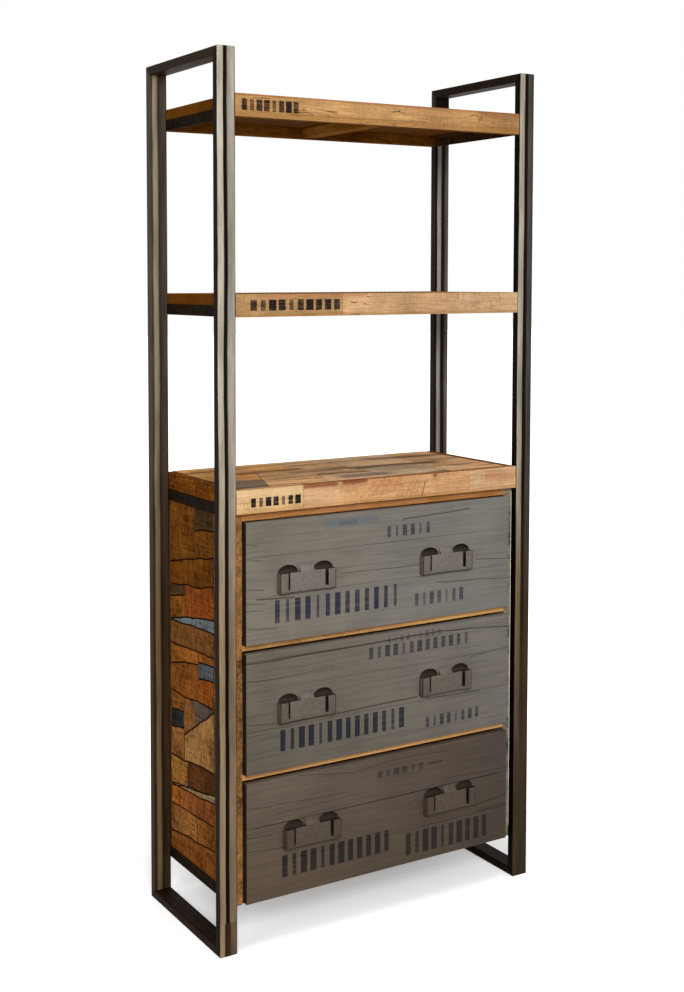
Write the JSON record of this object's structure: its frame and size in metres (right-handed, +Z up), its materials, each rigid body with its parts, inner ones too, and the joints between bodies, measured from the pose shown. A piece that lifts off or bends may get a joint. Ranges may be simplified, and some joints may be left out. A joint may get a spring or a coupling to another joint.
{
  "type": "bookcase with drawers",
  "caption": "Tall bookcase with dark steel side frames and reclaimed wood: open shelves above a cabinet of sliding drawers, each with bent steel pulls.",
  "frame": {"origin": "centre of the base, on the floor", "axes": "+Z up, -Y towards the front where the drawers open, +X to the right of someone facing the front"},
  "size_m": [0.88, 0.369, 2],
  "materials": {
    "frame_steel": "dark lacquered raw steel with pale streaks",
    "pull_steel": "bent sheet, painted the grey of the fronts and worn",
    "shelf_wood": "oiled reclaimed teak with saw marks",
    "cabinet_wood": "dark oiled reclaimed planks",
    "grey_front": "grey painted boards, worn, with stencilled bars",
    "box_wood": "plain planed wood"
  },
  "bodies": {
    "bookcase": {"cabinet_back": "cabinet_wood", "cabinet_bottom": "cabinet_wood", "cabinet_left_side": "cabinet_wood", "cabinet_right_side": "cabinet_wood", "cabinet_top_board": "shelf_wood", "cabinet_top_front_strip": "shelf_wood", "cabinet_top_left_strip": "shelf_wood", "cabinet_top_right_strip": "shelf_wood", "divider_rail_1": "shelf_wood", "divider_rail_2": "shelf_wood", "left_back_post": "frame_steel", "left_bottom_bar": "frame_steel", "left_front_post": "frame_steel", "left_rail_cabinet_base": "frame_steel", "left_rail_cabinet_top": "frame_steel", "left_rail_middle_shelf": "frame_steel", "left_rail_upper_shelf": "frame_steel", "left_runner_1": "box_wood", "left_runner_2": "box_wood", "left_top_bar": "frame_steel", "middle_shelf_back_strip": "shelf_wood", "middle_shelf_batten": "shelf_wood", "middle_shelf_board": "shelf_wood", "middle_shelf_front_strip": "shelf_wood", "right_back_post": "frame_steel", "right_bottom_bar": "frame_steel", "right_front_post": "frame_steel", "right_rail_cabinet_base": "frame_steel", "right_rail_cabinet_top": "frame_steel", "right_rail_middle_shelf": "frame_steel", "right_rail_upper_shelf": "frame_steel", "right_runner_1": "box_wood", "right_runner_2": "box_wood", "right_top_bar": "frame_steel", "top_front_rail": "shelf_wood", "upper_shelf_back_strip": "shelf_wood", "upper_shelf_batten": "shelf_wood", "upper_shelf_board": "shelf_wood", "upper_shelf_front_strip": "shelf_wood"},
    "drawer_1": {"drawer_1_back": "box_wood", "drawer_1_bottom": "box_wood", "drawer_1_front": "grey_front", "drawer_1_left_pull": "pull_steel", "drawer_1_left_side": "box_wood", "drawer_1_right_pull": "pull_steel", "drawer_1_right_side": "box_wood"},
    "drawer_2": {"drawer_2_back": "box_wood", "drawer_2_bottom": "box_wood", "drawer_2_front": "grey_front", "drawer_2_left_pull": "pull_steel", "drawer_2_left_side": "box_wood", "drawer_2_right_pull": "pull_steel", "drawer_2_right_side": "box_wood"},
    "drawer_3": {"drawer_3_back": "box_wood", "drawer_3_bottom": "box_wood", "drawer_3_front": "grey_front", "drawer_3_left_pull": "pull_steel", "drawer_3_left_side": "box_wood", "drawer_3_right_pull": "pull_steel", "drawer_3_right_side": "box_wood"}
  },
  "joints": [
    {"name": "drawer_1_slide", "type": "slide", "parent": "bookcase", "child": "drawer_1", "axis": [0, -1, 0], "range_m": [0, 0.25]},
    {"name": "drawer_2_slide", "type": "slide", "parent": "bookcase", "child": "drawer_2", "axis": [0, -1, 0], "range_m": [0, 0.25]},
    {"name": "drawer_3_slide", "type": "slide", "parent": "bookcase", "child": "drawer_3", "axis": [0, -1, 0], "range_m": [0, 0.25]}
  ]
}
